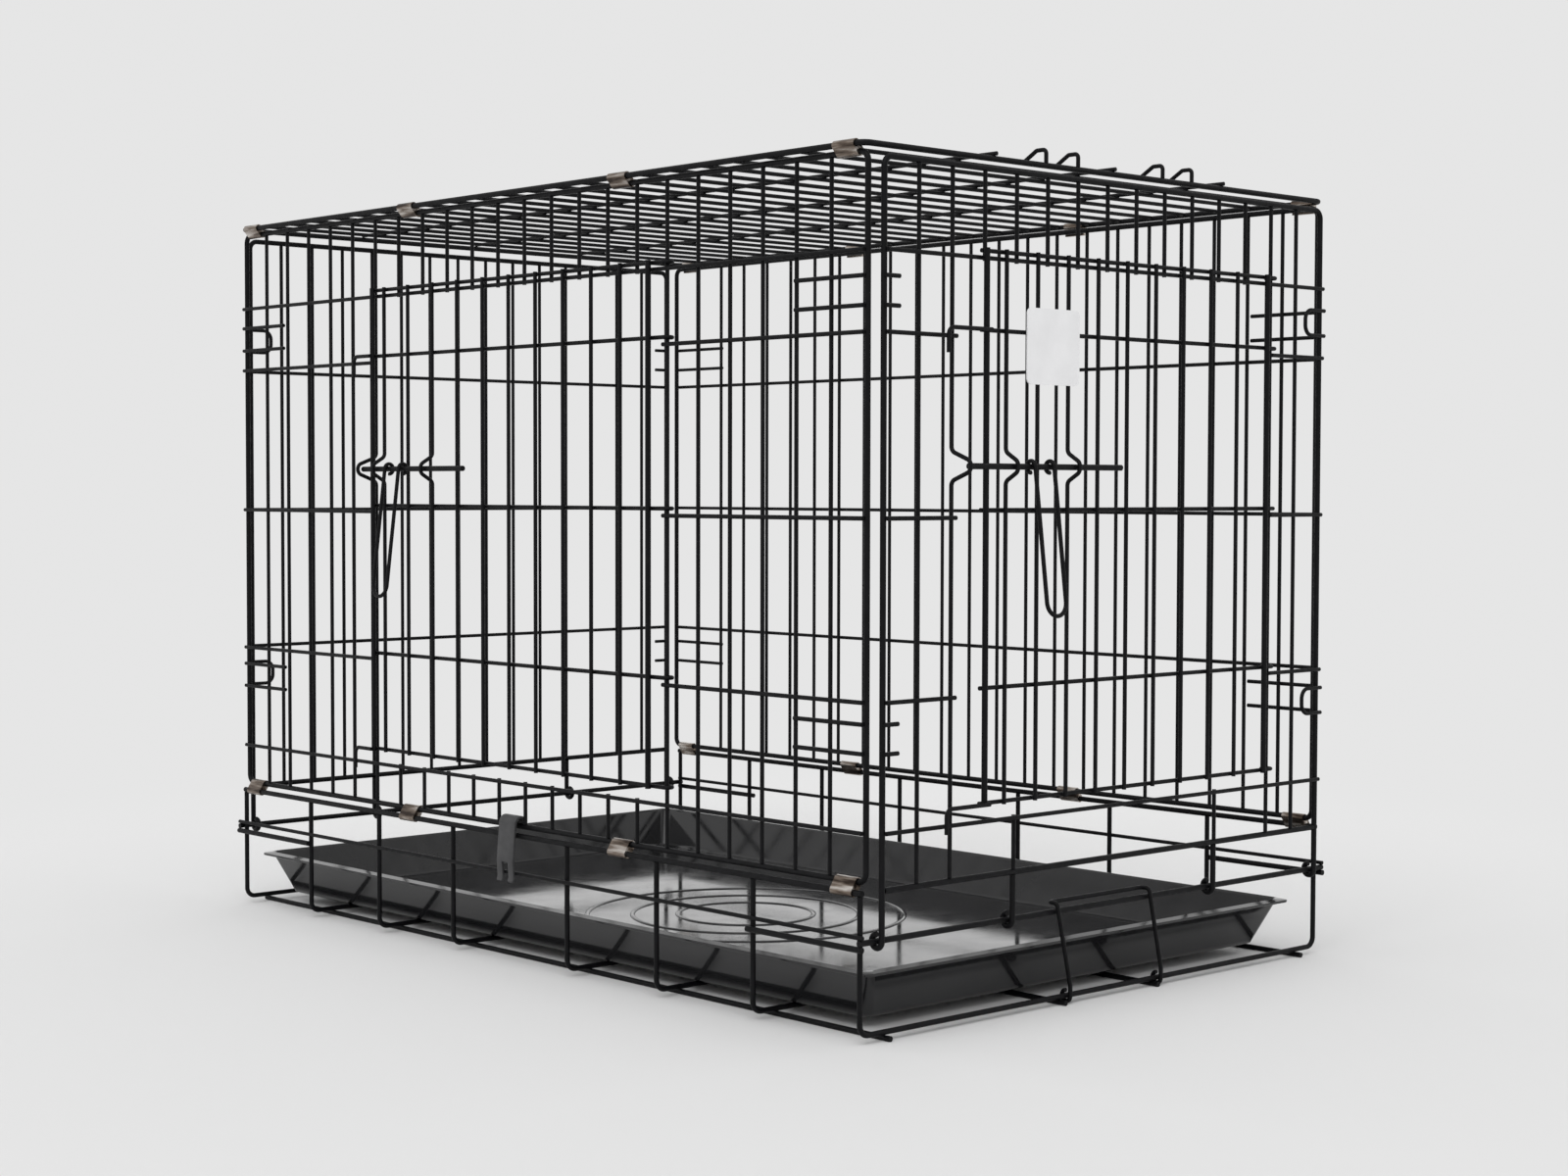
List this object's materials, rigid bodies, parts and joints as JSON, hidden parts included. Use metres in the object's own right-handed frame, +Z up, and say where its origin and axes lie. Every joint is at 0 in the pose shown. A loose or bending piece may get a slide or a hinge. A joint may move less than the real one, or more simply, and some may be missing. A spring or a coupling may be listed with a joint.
{
  "type": "folding wire dog crate",
  "caption": "Folding wire dog crate with a side door, an end door, slide bolts, hinged panels and a removable floor pan.",
  "frame": {"origin": "on the floor under the centre of the base", "axes": "+X along the length towards the end door, -Y towards the side door, +Z up"},
  "size_m": [0.9821, 0.6333, 0.7156],
  "materials": {
    "black wire": "satin",
    "nickel clip": "satin",
    "pan plastic": "gloss",
    "strap plastic": "matte",
    "tag plastic": "satin"
  },
  "bodies": {
    "base": {"base_brackets": "black wire", "base_clips_back": "nickel clip", "base_clips_front": "nickel clip", "base_hoops": "black wire", "base_pivots": "black wire", "base_rails": "black wire", "base_runners": "black wire"},
    "pan": {"pan": "pan plastic"},
    "pan_stop": {"pan_stop": "black wire"},
    "carry_handle": {"carry_handle": "strap plastic"},
    "front_bolt": {"front_bolt_rod": "black wire"},
    "front_handle": {"front_bolt_handle": "black wire"},
    "front_door": {"front_door_bars": "black wire", "front_door_frame": "black wire", "front_door_hooks": "black wire", "front_door_rails": "black wire"},
    "end_bolt": {"end_bolt_rod": "black wire"},
    "end_handle": {"end_bolt_handle": "black wire"},
    "end_door": {"end_door_bars": "black wire", "end_door_frame": "black wire", "end_door_hooks": "black wire", "end_door_rails": "black wire", "tag": "tag plastic"},
    "front_panel": {"front_frame": "black wire", "front_bars": "black wire", "front_rails": "black wire", "front_tabs": "black wire", "front_clips": "nickel clip"},
    "back_panel": {"back_bars": "black wire", "back_frame": "black wire", "back_rails": "black wire", "back_tabs": "black wire"},
    "top_panel": {"top_bars": "black wire", "top_frame": "black wire", "top_hooks": "black wire", "top_rails": "black wire", "top_snaps": "nickel clip"},
    "end_panel": {"end_frame": "black wire", "end_bars": "black wire", "end_rails": "black wire", "end_eyelets": "black wire", "end_loops": "black wire"},
    "rear_panel": {"rear_bars": "black wire", "rear_eyelets": "black wire", "rear_frame": "black wire", "rear_loops": "black wire", "rear_rails": "black wire"}
  },
  "joints": [
    {"name": "front_fold", "type": "hinge", "parent": "base", "child": "front_panel", "pos_m": [0, -0.2913, 0.127], "axis": [-1, 0, 0], "range_deg": [0, 88]},
    {"name": "top_fold", "type": "hinge", "parent": "front_panel", "child": "top_panel", "pos_m": [0, -0.2963, 0.7005], "axis": [1, 0, 0], "range_deg": [0, 258]},
    {"name": "back_fold", "type": "hinge", "parent": "base", "child": "back_panel", "pos_m": [0, 0.2913, 0.127], "axis": [1, 0, 0], "range_deg": [0, 91.2]},
    {"name": "end_fold", "type": "hinge", "parent": "base", "child": "end_panel", "pos_m": [0.46345, 0, 0.081], "axis": [0, -1, 0], "range_deg": [0, 90]},
    {"name": "rear_fold", "type": "hinge", "parent": "base", "child": "rear_panel", "pos_m": [-0.46345, 0, 0.081], "axis": [0, 1, 0], "range_deg": [0, 92.2]},
    {"name": "front_door_hinge", "type": "hinge", "parent": "front_panel", "child": "front_door", "pos_m": [0.22, -0.292, 0.4], "axis": [0, 0, -1], "range_deg": [-120, 0]},
    {"name": "end_door_hinge", "type": "hinge", "parent": "end_panel", "child": "end_door", "pos_m": [0.4695, 0.20717, 0.4], "axis": [0, 0, -1], "range_deg": [-120, 0]},
    {"name": "front_bolt_slide", "type": "slide", "parent": "front_door", "child": "front_bolt", "axis": [-1, 0, 0], "range_m": [0, 0.016]},
    {"name": "end_bolt_slide", "type": "slide", "parent": "end_door", "child": "end_bolt", "axis": [0, -1, 0], "range_m": [0, 0.016]},
    {"name": "front_handle_swing", "type": "hinge", "parent": "front_bolt", "child": "front_handle", "pos_m": [-0.162, -0.3084, 0.452], "axis": [1, 0, 0], "range_deg": [-93, 7]},
    {"name": "end_handle_swing", "type": "hinge", "parent": "end_bolt", "child": "end_handle", "pos_m": [0.4859, -0.12, 0.452], "axis": [0, 1, 0], "range_deg": [-93, 7]},
    {"name": "pan_slide", "type": "slide", "parent": "base", "child": "pan", "axis": [1, 0, 0], "range_m": [-0.75, 0]},
    {"name": "pan_stop_swing", "type": "hinge", "parent": "base", "child": "pan_stop", "pos_m": [0.45873, 0, 0.0069], "axis": [0, -1, 0], "range_deg": [-90, 0]},
    {"name": "carry_handle_swing", "type": "hinge", "parent": "front_panel", "child": "carry_handle", "pos_m": [0.006, -0.2913, 0.127], "axis": [1, 0, 0], "range_deg": [-110, 0]}
  ],
  "couplings": [
    {"joint": "top_fold", "follows": "front_fold", "ratio": 2.9318}
  ]
}
